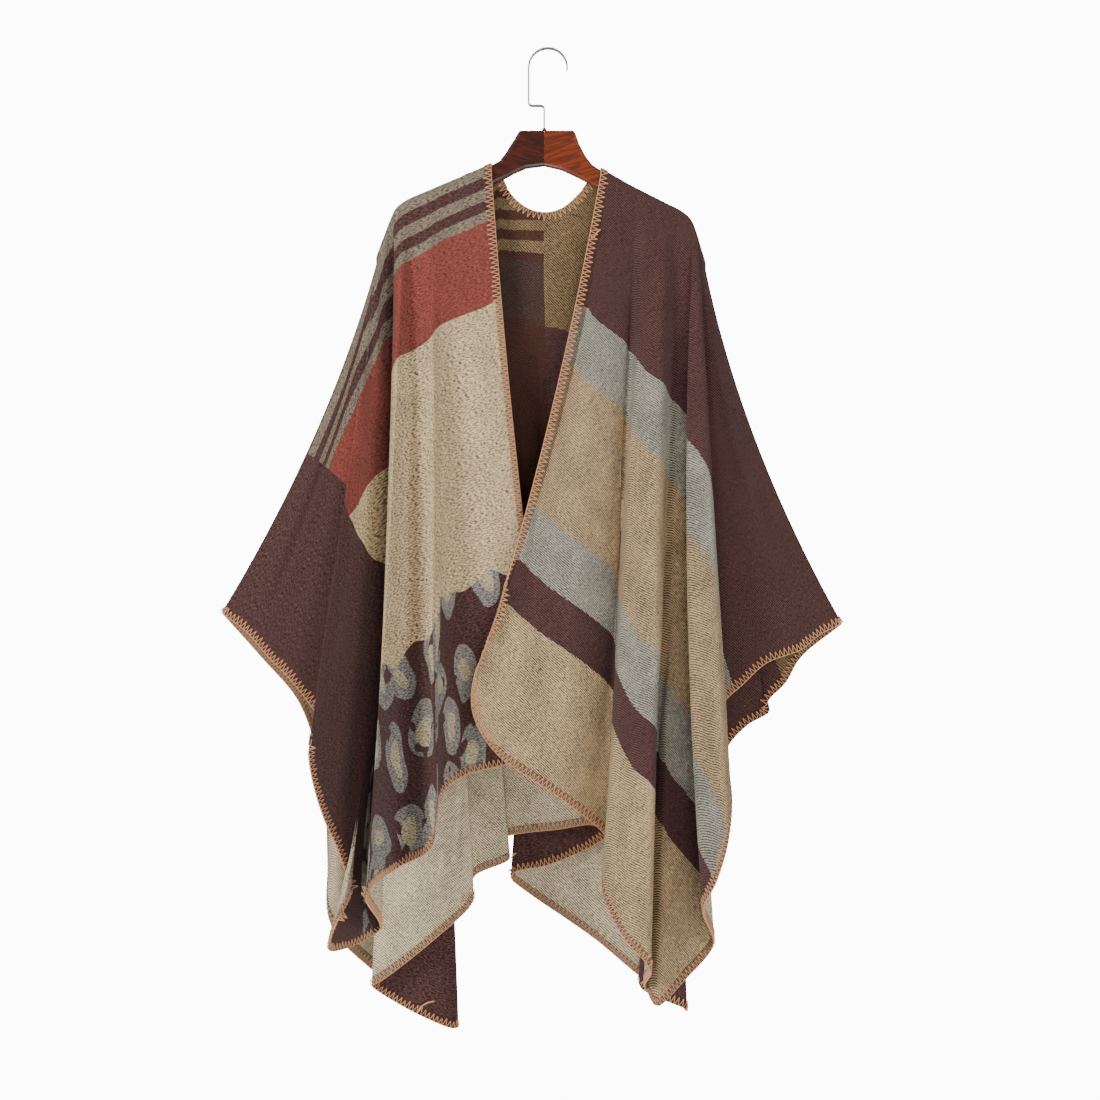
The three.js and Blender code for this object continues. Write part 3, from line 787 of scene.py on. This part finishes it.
@dataclass
class Panel:
    """One wall of the cloth: its falls, and the faces that they are woven with."""

    name: str
    falls: Rows
    side: int
    turn: int
    start_of: Callable[[float], Start]
    creases: list[Crease]
    folds_at_start: bool = False
    slack: dict[float, float] = field(default_factory=dict)
    open_by: float = 0.42
    closed_from: float = 0.74
    softenings: int = 3
    softened_from: float = 0.15
    beside: float = 0.9
    neck_reach: int = 5
    wall: float = 2.0 * MM
    fold_radius: float = 9.5 * MM
    rows_to_full_lift: int = 4
    arch_steps: int = 6
    run_steps: int = 62
    spans: int = 9

    def lift(self, index: int) -> float:
        """Give how far in depth a fall's arch reaches, which eases to nothing on an arm's fold."""
        from_end = len(self.falls) - 1 - index
        rows = min(index, from_end) if self.folds_at_start else from_end
        return self.fold_radius * min(1.0, math.sqrt(rows / self.rows_to_full_lift))

    def fall(self, index: int) -> tuple[np.ndarray, np.ndarray]:
        """Draw one fall.

        Args:
            index: the fall's row in the table.

        Returns:
            Its places in metres, and its places on the flat cut.
        """
        top, across, drop, depth, bow, swell, cut_across, cut_down = self.falls[index]
        start = self.start_of(top)
        lift = self.lift(index)
        angle = np.linspace(0, math.pi / 2, self.arch_steps + 1)
        forward = lift * (1 - start.arched) + lift * start.arched * np.sin(angle)
        fall = self.fold_radius * start.arched * (1 - np.cos(angle))
        arch = start.place + np.stack([np.zeros_like(angle), self.side * forward, -fall], axis=1)
        share = (np.arange(self.run_steps) + 1) / self.run_steps
        bend = 4 * share * (1 - share)
        foot = EYE.seen(across, drop, depth)
        run = arch[-1] + (foot - arch[-1]) * share[:, None]
        run += np.stack([bow * MM * bend, swell * MM * bend, np.zeros_like(bend)], axis=1)
        places = np.vstack([arch, run])
        gaps = np.linalg.norm(np.diff(places, axis=0), axis=1)
        reached = np.concatenate([[0], np.cumsum(gaps)])
        part = (reached / reached[-1])[:, None]
        cut_top = np.array([start.across_cut, start.down_cut])
        cut_foot = np.array([cut_across, cut_down]) * MM
        on_cut = cut_top + (cut_foot - cut_top) * part
        on_cut[:, 1] -= self.slack.get(top, 0) * MM * 4 * part[:, 0] * (1 - part[:, 0])
        return places, on_cut

    def open_above(self, falls: list[np.ndarray]) -> None:
        """Open the folds above the hem, where the falls stand in order across."""
        placed = np.stack(falls)
        share = np.maximum(np.arange(placed.shape[1]) - self.arch_steps, 0) / self.run_steps
        part = np.clip((share - self.open_by) / (self.closed_from - self.open_by), 0, 1)
        folded = part * part * (3 - 2 * part)
        opened = np.sort(placed[:, :, 0], axis=0)
        below = np.clip(share / self.softened_from, 0, 1)
        for _ in range(self.softenings):
            between = opened[:-2] / 4 + opened[1:-1] / 2 + opened[2:] / 4
            opened[1:-1] += (between - opened[1:-1]) * below
        for fall, soft in zip(falls, opened):
            fall[:, 0] = soft + (fall[:, 0] - soft) * folded

    def grid(self) -> tuple[np.ndarray, np.ndarray]:
        """Give the wall's outer places and their cut, as columns of levels."""
        falls = [self.fall(index) for index in range(len(self.falls))]
        if self.folds_at_start:
            self.open_above([fall[0] for fall in falls])
        samples = np.linspace(0, len(falls) - 1, (len(falls) - 1) * self.spans + 1)
        levels = self.arch_steps + self.run_steps + 1
        places = np.stack([smooth_through(np.array([fall[0][level] for fall in falls]), samples)
                           for level in range(levels)], axis=1)
        rows = np.arange(len(falls))
        cut = np.stack([np.stack([np.interp(samples, rows, [fall[1][level][axis] for fall in falls])
                                  for level in range(levels)], axis=1) for axis in range(2)], axis=2)
        lift = sum(crease.lift(cut) for crease in self.creases)
        places += self.normals(places) * lift[..., None]
        places[:, :, 1] = self.side * np.maximum(self.side * places[:, :, 1], 0)
        return places, cut

    def normals(self, places: np.ndarray) -> np.ndarray:
        """Give the outer face's normals on the grid."""
        across = np.gradient(places, axis=0)
        down = np.gradient(places, axis=1)
        normal = np.cross(across, down) * self.turn
        return normal / np.maximum(np.linalg.norm(normal, axis=2, keepdims=True), 1e-12)

    def build(self, outer: bpy.types.Material, inner: bpy.types.Material) -> bpy.types.Object:
        """Make the wall as one closed mesh with an outer and an inner face.

        Args:
            outer: the outer face's finish.
            inner: the inner face's finish.

        Returns:
            The wall's object.
        """
        places, cut = self.grid()
        inside = places - self.normals(places) * self.wall
        inside[:, :, 1] = self.side * np.maximum(self.side * inside[:, :, 1], 0)
        columns, levels = places.shape[:2]
        number = np.arange(columns * levels).reshape(columns, levels)
        behind = number + columns * levels
        front = self._quads(number[:-1, :-1], number[1:, :-1], number[1:, 1:], number[:-1, 1:])
        back = self._quads(behind[:-1, :-1], behind[:-1, 1:], behind[1:, 1:], behind[1:, :-1])
        rims = [self._quads(number[:-1, 0], behind[:-1, 0], behind[1:, 0], number[1:, 0]),
                self._quads(number[:-1, -1], number[1:, -1], behind[1:, -1], behind[:-1, -1]),
                self._quads(number[0, :-1], number[0, 1:], behind[0, 1:], behind[0, :-1]),
                self._quads(number[-1, :-1], behind[-1, :-1], behind[-1, 1:], number[-1, 1:])]
        faces = np.vstack([front, back, *rims])
        vertices = np.vstack([places.reshape(-1, 3), inside.reshape(-1, 3)])
        mesh = bpy.data.meshes.new(self.name)
        mesh.from_pydata(vertices.tolist(), [], faces.tolist())
        finishes = np.zeros(len(faces), dtype=np.int32)
        finishes[len(front):len(front) + len(back)] = 1
        mesh.polygons.foreach_set("material_index", finishes)
        mesh.polygons.foreach_set("use_smooth", np.ones(len(faces), dtype=bool))
        cut_map = mesh.uv_layers.new(name=CUT_MAP)
        flat = np.vstack([cut.reshape(-1, 2)] * 2)
        corners = np.zeros(len(mesh.loops), dtype=np.int32)
        mesh.loops.foreach_get("vertex_index", corners)
        cut_map.data.foreach_set("uv", flat[corners].ravel())
        mesh.materials.append(outer)
        mesh.materials.append(inner)
        mesh.update()
        return put_in_scene(self.name, mesh)

    def _quads(self, *corners: np.ndarray) -> np.ndarray:
        """Give faces from four corners each, turned to point outwards."""
        quads = np.stack([corner.ravel() for corner in corners], axis=1)
        return quads if self.turn > 0 else quads[:, ::-1]

    def edge_frames(self, which: str, pitch: float) -> tuple[np.ndarray, np.ndarray, np.ndarray]:
        """Give evenly spaced stitches' places along an edge.

        Args:
            which: "slit" for the first column, "foot" for the lower edge, "neck" for the back's neckline.
            pitch: distance between stitches in metres.

        Returns:
            The places in the wall's middle, the directions into the cloth, and the outer normals.
        """
        places, _ = self.grid()
        normals = self.normals(places)
        middle = places - normals * (self.wall / 2)
        below = self.arch_steps + 1
        if which == "slit":
            line, inner, normal = middle[0], middle[2], normals[0]
        elif which == "foot":
            line, inner, normal = middle[:, -1], middle[:, -3], normals[:, -1]
        else:
            starts = np.array([0.0 <= fall[0] <= 1.0 for fall in self.falls])
            first = int(np.argmax(starts)) * self.spans - self.spans
            last = (len(starts) - int(np.argmax(starts[::-1]))) * self.spans
            normal = normals[first:last, below]
            line = places[first:last, 0] - normal * (self.wall / 2)
            inner = middle[first:last, below + self.neck_reach]
        reached = np.concatenate([[0], np.cumsum(np.linalg.norm(np.diff(line, axis=0), axis=1))])
        wanted = np.linspace(0, reached[-1], max(3, int(reached[-1] / pitch)))

        def along(values: np.ndarray) -> np.ndarray:
            """Read values at the wanted distances."""
            return np.stack([np.interp(wanted, reached, values[:, axis]) for axis in range(3)], axis=1)

        places, outward, inward = along(line), along(normal), along(inner - line)
        tangent = np.gradient(places, axis=0)
        # Where the edge runs beside its falls and the wall turns over, the stitches still face its own side.
        lengths = np.linalg.norm(tangent, axis=1) * np.linalg.norm(inward, axis=1)
        beside = np.abs(np.sum(tangent * inward, axis=1)) > self.beside * lengths
        outward[beside & (outward[:, 1] * self.side < 0)] *= -1
        square = np.cross(outward, tangent)
        square *= np.sign(np.sum(square * inward))
        square /= np.maximum(np.linalg.norm(square, axis=1, keepdims=True), 1e-12)
        return places, square, outward


def put_in_scene(name: str, mesh: bpy.types.Mesh) -> bpy.types.Object:
    """Put a mesh in the scene as an object at the origin."""
    thing = bpy.data.objects.new(name, mesh)
    bpy.context.scene.collection.objects.link(thing)
    return thing


class Tree:
    """A Geometry Nodes tree under construction."""

    def __init__(self, name: str, sizes: dict[str, float]) -> None:
        """Start a tree with named number inputs."""
        self.group = bpy.data.node_groups.new(name, "GeometryNodeTree")
        self.group.interface.new_socket("Geometry", in_out="INPUT", socket_type="NodeSocketGeometry")
        for size in sizes:
            self.group.interface.new_socket(size, in_out="INPUT", socket_type="NodeSocketFloat")
        self.group.interface.new_socket("Geometry", in_out="OUTPUT", socket_type="NodeSocketGeometry")
        self.inputs = self.group.nodes.new("NodeGroupInput")
        self.sizes = sizes

    def node(self, kind: str, settings: Optional[dict[str, Any]] = None,
             inputs: Optional[dict[Union[int, str], Any]] = None) -> bpy.types.Node:
        """Add a node, with its settings, values and links."""
        node = self.group.nodes.new(kind)
        for name, value in (settings or {}).items():
            setattr(node, name, value)
        for name, value in (inputs or {}).items():
            sources = value if isinstance(value, list) else [value]
            for source in sources:
                if isinstance(source, bpy.types.NodeSocket):
                    self.group.links.new(source, node.inputs[name])
                else:
                    node.inputs[name].default_value = source
        return node

    def applied(self, thing: bpy.types.Object) -> bpy.types.Object:
        """Run the tree on an object, and keep the plain mesh that it gives."""
        modifier = thing.modifiers.new("made", "NODES")
        modifier.node_group = self.group
        for item in self.group.interface.items_tree:
            if item.in_out == "INPUT" and item.name in self.sizes:
                modifier[item.identifier] = self.sizes[item.name]
        bpy.context.view_layer.update()
        ready = thing.evaluated_get(bpy.context.evaluated_depsgraph_get())
        mesh = bpy.data.meshes.new_from_object(ready)
        thing.modifiers.clear()
        thing.data = mesh
        return thing


@dataclass
class BlanketStitch:
    """The camel yarn edging: an edge cord, and narrow pointed legs over both faces."""

    pitch: float = 5.9 * MM
    leg: float = 9.5 * MM
    yarn: float = 0.58 * MM
    cord: float = 1.0 * MM
    wall: float = 2.0 * MM
    slant: float = 0.42
    raised: float = 0.55
    shortest: float = 0.82
    longest: float = 1.12
    seed: int = 7

    def tree(self, finish: bpy.types.Material) -> Tree:
        """Build the tree that sews a line of stitch places."""
        tree = Tree("blanket_stitch", {"Leg": self.leg, "Yarn": self.yarn, "Cord": self.cord,
                                       "Pitch": self.pitch, "Wall": self.wall})
        wire = tree.inputs.outputs
        thin = tree.node("GeometryNodeCurvePrimitiveCircle", {}, {"Resolution": 5, "Radius": wire["Yarn"]})
        thick = tree.node("GeometryNodeCurvePrimitiveCircle", {}, {"Resolution": 6, "Radius": wire["Cord"]})
        path = tree.node("GeometryNodeMeshToCurve", {}, {0: wire["Geometry"]})
        cord = tree.node("GeometryNodeCurveToMesh", {}, {0: path.outputs[0], 1: thick.outputs[0],
                                                         "Fill Caps": True})
        legs = []
        for face in (1.0, -1.0):
            for slant in (-self.slant, self.slant):
                height = self._scaled(tree, wire["Wall"], 0.5 * face, wire["Yarn"], self.raised * face)
                side = self._scaled(tree, wire["Pitch"], slant, wire["Yarn"], 0.0)
                foot = tree.node("ShaderNodeCombineXYZ", {}, {0: side, 1: 0.0, 2: height})
                tip = tree.node("ShaderNodeCombineXYZ", {}, {0: 0.0, 1: wire["Leg"], 2: height})
                line = tree.node("GeometryNodeCurvePrimitiveLine", {},
                                 {"Start": foot.outputs[0], "End": tip.outputs[0]})
                tube = tree.node("GeometryNodeCurveToMesh", {}, {0: line.outputs[0], 1: thin.outputs[0],
                                                                 "Fill Caps": True})
                legs.append(tube.outputs[0])
        stitch = tree.node("GeometryNodeJoinGeometry", {}, {0: legs})
        outwards, inwards = (tree.node("GeometryNodeInputNamedAttribute", {"data_type": "FLOAT_VECTOR"},
                                       {"Name": name}).outputs[0] for name in ("outwards", "inwards"))
        upright = tree.node("FunctionNodeAlignRotationToVector", {"axis": "Z"}, {"Vector": outwards})
        turned = tree.node("FunctionNodeAlignRotationToVector", {"axis": "Y", "pivot_axis": "Z"},
                           {"Rotation": upright.outputs[0], "Vector": inwards})
        uneven = tree.node("FunctionNodeRandomValue", {"data_type": "FLOAT"},
                           {2: self.shortest, 3: self.longest, "Seed": self.seed})
        longer = tree.node("ShaderNodeCombineXYZ", {}, {0: 1.0, 1: uneven.outputs[1], 2: 1.0})
        sewn_here = tree.node("GeometryNodeInputNamedAttribute", {"data_type": "BOOLEAN"}, {"Name": "sewn"})
        sewn = tree.node("GeometryNodeInstanceOnPoints", {}, {
            "Points": wire["Geometry"], "Selection": sewn_here.outputs[0], "Instance": stitch.outputs[0],
            "Rotation": turned.outputs[0], "Scale": longer.outputs[0]})
        joined = tree.node("GeometryNodeJoinGeometry", {}, {0: [cord.outputs[0], sewn.outputs[0]]})
        real = tree.node("GeometryNodeRealizeInstances", {}, {0: joined.outputs[0]})
        dyed = tree.node("GeometryNodeSetMaterial", {}, {"Geometry": real.outputs[0], "Material": finish})
        tree.node("NodeGroupOutput", {}, {0: dyed.outputs[0]})
        return tree

    @staticmethod
    def _scaled(tree: Tree, first: bpy.types.NodeSocket, by: float, second: bpy.types.NodeSocket,
                second_by: float) -> bpy.types.NodeSocket:
        """Add two sizes, each times a number."""
        one = tree.node("ShaderNodeMath", {"operation": "MULTIPLY"}, {0: first, 1: by})
        both = tree.node("ShaderNodeMath", {"operation": "MULTIPLY_ADD"},
                         {0: second, 1: second_by, 2: one.outputs[0]})
        return both.outputs[0]

    def sew(self, name: str, lines: list[tuple[np.ndarray, np.ndarray, np.ndarray]], loose: list[Rows],
            finish: bpy.types.Material) -> bpy.types.Object:
        """Sew along lines of stitch places.

        Args:
            name: the edging's name.
            lines: for each line, its places, the directions into the cloth and the outer normals.
            loose: lengths of yarn without stitches, as seen places with their depth.
            finish: the yarn's material.

        Returns:
            The edging as a plain mesh.
        """
        stitched = sum(len(line[0]) for line in lines)
        for strand in loose:
            places = np.array([EYE.seen(*place) for place in strand])
            lines = lines + [(places, np.tile((0.0, 0.0, -1.0), (len(places), 1)),
                              np.tile((0.0, -1.0, 0.0), (len(places), 1)))]
        places = np.vstack([line[0] for line in lines])
        edges: list[tuple[int, int]] = []
        count = 0
        for line in lines:
            edges += [(count + index, count + index + 1) for index in range(len(line[0]) - 1)]
            count += len(line[0])
        mesh = bpy.data.meshes.new(name)
        mesh.from_pydata(places.tolist(), edges, [])
        for label, column in (("inwards", 1), ("outwards", 2)):
            layer = mesh.attributes.new(label, "FLOAT_VECTOR", "POINT")
            layer.data.foreach_set("vector", np.vstack([line[column] for line in lines]).ravel())
        layer = mesh.attributes.new("sewn", "BOOLEAN", "POINT")
        layer.data.foreach_set("value", np.arange(len(places)) < stitched)
        thing = self.tree(finish).applied(put_in_scene(name, mesh))
        for face in thing.data.polygons:
            face.use_smooth = True
        return thing


def left_start(top: float) -> Start:
    """Start a fall on the left shoulder."""
    return Start(LEFT_EDGE.at(top * MM), 1.0, top * MM)


def right_start(top: float) -> Start:
    """Start a fall on the right shoulder."""
    return Start(RIGHT_EDGE.at(top * MM), 1.0, top * MM)


def back_start(top: float) -> Start:
    """Start one of the back's falls, on a shoulder or on the neckline."""
    if top < 0:
        return Start(LEFT_EDGE.at(-top * MM), 1.0, top * MM - NECK_HALF)
    if top > 1:
        return Start(RIGHT_EDGE.at(top * MM), 1.0, top * MM + NECK_HALF)
    place = NECK_EDGE.share(top)
    return Start(place, 0.0, (2 * top - 1) * NECK_HALF, -place[2] - NECK_POINT_DROP)


@dataclass
class Wrap:
    """The cloth: two fronts and a back of one woven length, with its edging."""

    front_cut: tuple[float, float] = (0.75, 0.721)
    back_cut: tuple[float, float] = (1.50, 0.813)
    stitch: BlanketStitch = field(default_factory=BlanketStitch)

    def build(self) -> None:
        """Make the cloth and its edging, and report the pieces."""
        front_reverse = FrontReverse("cloth_front_reverse", 0.5).dressed()
        yarn = EdgeYarn().dressed()
        left = Panel("left_front_cloth", LEFT_FRONT, -1, 1, left_start, creases(LEFT_CREASES),
                     slack=LEFT_SLACK)
        right = Panel("right_front_cloth", RIGHT_FRONT, -1, -1, right_start, creases(RIGHT_CREASES))
        back = Panel("back_cloth", BACK, 1, 1, back_start, creases(BACK_CREASES),
                     folds_at_start=True, spans=7)
        left_face = LeftFrontFace("cloth_left_front", 0.25).dressed()
        right_face = RightFrontFace("cloth_right_front", 0.75).dressed()
        back_face = BackFace("cloth_back", 0.3).dressed()
        back_reverse = BackReverse("cloth_back_reverse", 0.75).dressed()
        plans = [
            (left, left_face, front_reverse, "poncho_left_front", "cloth_left_front", self.front_cut,
             ["slit", "foot"], []),
            (right, right_face, front_reverse, "poncho_right_front", "cloth_right_front", self.front_cut,
             ["slit", "foot"], LOOSE_ENDS[:1]),
            (back, back_face, back_reverse, "poncho_back", "cloth_back", self.back_cut,
             ["neck", "foot"], LOOSE_ENDS[1:]),
        ]
        dark = EdgeYarn("neck_yarn", srgb(70, 58, 48), srgb(40, 32, 28)).dressed()
        neck_rows = self.stitch.sew("neck_rows", [], neck_dashes(), dark)
        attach(neck_rows, "root")
        for panel, outer, inner, node, slot, cut, edges, loose in plans:
            cloth = panel.build(outer, inner)
            lines = [panel.edge_frames(edge, self.stitch.pitch) for edge in edges]
            edging = self.stitch.sew(panel.name.replace("cloth", "edging"), lines, loose, yarn)
            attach(cloth, "root")
            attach(edging, "root")
            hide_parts(node)
            LOG.info("%s: %d faces, edging %d faces", cloth.name, len(cloth.data.polygons),
                     len(edging.data.polygons))


@dataclass
class Hanger:
    """The wooden hanger's halves, its hook and collar, which keep the frame's shapes."""

    dark: LacqueredWood = LacqueredWood("wood_dark", srgb(70, 26, 13), srgb(30, 10, 6), 0.25)
    red: LacqueredWood = LacqueredWood("wood_red", srgb(122, 50, 20), srgb(66, 22, 9), -0.3)
    hook: DrawnSteel = DrawnSteel("steel_hook", (0.42, 0.40, 0.38), 0.26)
    collar: DrawnSteel = DrawnSteel("steel_dark", (0.12, 0.1, 0.09), 0.4)
    joint: float = -3.4
    glue_half: float = 0.13
    glue_depth: float = 1.4
    glue_head: float = 105.1
    glue_foot: float = 148.9

    def dress(self) -> None:
        """Give each of the hanger's solids its finish."""
        finishes = {"hanger_left_half": self.dark, "hanger_right_half": self.red,
                    "hanger_hook": self.hook, "hook_collar": self.collar}
        for node, finish in finishes.items():
            mesh = bpy.data.objects[node].data
            mesh.materials.clear()
            mesh.materials.append(finish.dressed())
            LOG.info("%s dressed", node)
        self._glue()

    def _glue(self) -> None:
        """Fill the joint between the halves with its thin line of glue."""
        low, high = -self.glue_foot * MM, -self.glue_head * MM
        left, right = (self.joint + self.glue_half * side for side in (-1, 1))
        corners = [(x * MM, y * MM, z) for x in (left, right) for y in (-self.glue_depth, self.glue_depth)
                   for z in (low, high)]
        faces = [(0, 1, 3, 2), (4, 6, 7, 5), (0, 4, 5, 1), (2, 3, 7, 6), (0, 2, 6, 4), (1, 5, 7, 3)]
        mesh = bpy.data.meshes.new("hanger_glue")
        mesh.from_pydata(corners, [], faces)
        mesh.materials.append(bpy.data.materials["wood_dark"])
        glue = put_in_scene("hanger_glue", mesh)
        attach(glue, "root")


@dataclass
class Studio:
    """The camera at the photograph's place, soft light and a pale floor."""

    floor_drop: float = 1.75
    floor_size: float = 2.6
    sky_light: float = 0.34
    sky_seen: float = 12.0
    # Each light's name, place in metres, power in watts and size in metres.
    lights: tuple[tuple[str, tuple[float, float, float], float, float], ...] = (
        ("key_left", (-2.6, -1.9, 0.9), 150.0, 1.2),
        ("key_right", (2.4, -2.2, 0.3), 66.0, 1.4),
        ("fill_low", (0.2, -2.8, -2.0), 62.0, 1.8),
        ("from_behind", (0.4, 2.6, 0.8), 80.0, 2.0),
    )

    def build(self) -> None:
        """Set the camera, the lights, the sky and the floor."""
        self._camera()
        self._floor()
        for light in self.lights:
            self._light(*light)
        self._sky()

    def _sky(self) -> None:
        """Surround the wrap with dim light, and show white behind it."""
        sky = bpy.data.worlds.new("studio")
        sky.use_nodes = True
        nodes, links = sky.node_tree.nodes, sky.node_tree.links
        path = nodes.new("ShaderNodeLightPath")
        strength = nodes.new("ShaderNodeMath")
        strength.operation = "MULTIPLY_ADD"
        strength.inputs[1].default_value = self.sky_seen - self.sky_light
        strength.inputs[2].default_value = self.sky_light
        links.new(path.outputs["Is Camera Ray"], strength.inputs[0])
        links.new(strength.outputs[0], nodes["Background"].inputs[1])
        nodes["Background"].inputs[0].default_value = (1.0, 1.0, 1.0, 1.0)
        bpy.context.scene.world = sky

    @staticmethod
    def _camera() -> None:
        """Look level at the hanger's plane, from where the photograph was taken."""
        camera = bpy.data.cameras.new("camera")
        camera.sensor_width = EYE.sensor
        camera.lens = EYE.sensor * EYE.distance / EYE.view_width
        holder = bpy.data.objects.new("camera", camera)
        holder.location = (EYE.across * MM, -EYE.distance * MM, -EYE.drop * MM)
        holder.rotation_euler = (math.pi / 2, 0.0, 0.0)
        bpy.context.scene.collection.objects.link(holder)
        bpy.context.scene.camera = holder

    def _floor(self) -> None:
        """Lay the pale floor under the wrap, clear of the photograph's view."""
        half = self.floor_size / 2
        corners = [(-half, -half), (half, -half), (half, half), (-half, half)]
        mesh = bpy.data.meshes.new("floor")
        mesh.from_pydata([(x, y, -self.floor_drop) for x, y in corners], [], [(0, 1, 2, 3)])
        shader = Shader("floor")
        here = shader.node("ShaderNodeTexCoord").out("Object")
        mottle = shader.noise(here, 3.0)
        colour = shader.mix(mottle * 0.1, (0.85, 0.85, 0.85), (0.8, 0.8, 0.8))
        mesh.materials.append(shader.finish(colour, 0.9, mottle, 0.1 * MM))
        put_in_scene("floor", mesh)

    @staticmethod
    def _light(name: str, place: tuple[float, float, float], power: float, size: float) -> None:
        """Hang one soft square light, turned to the wrap's middle."""
        lamp = bpy.data.lights.new(name, "AREA")
        lamp.energy = power
        lamp.size = size
        holder = bpy.data.objects.new(name, lamp)
        holder.location = place
        towards = Vector((0.0, 0.0, -EYE.drop * MM)) - Vector(place)
        holder.rotation_euler = towards.to_track_quat("-Z", "Y").to_euler()
        bpy.context.scene.collection.objects.link(holder)


def main() -> None:
    """Build the studio, the cloth and the hanger's finishes, and note the sizes."""
    logging.basicConfig(level=logging.INFO, format="%(message)s")
    Studio().build()
    Wrap().build()
    Hanger().dress()


if __name__ == "__main__":
    main()
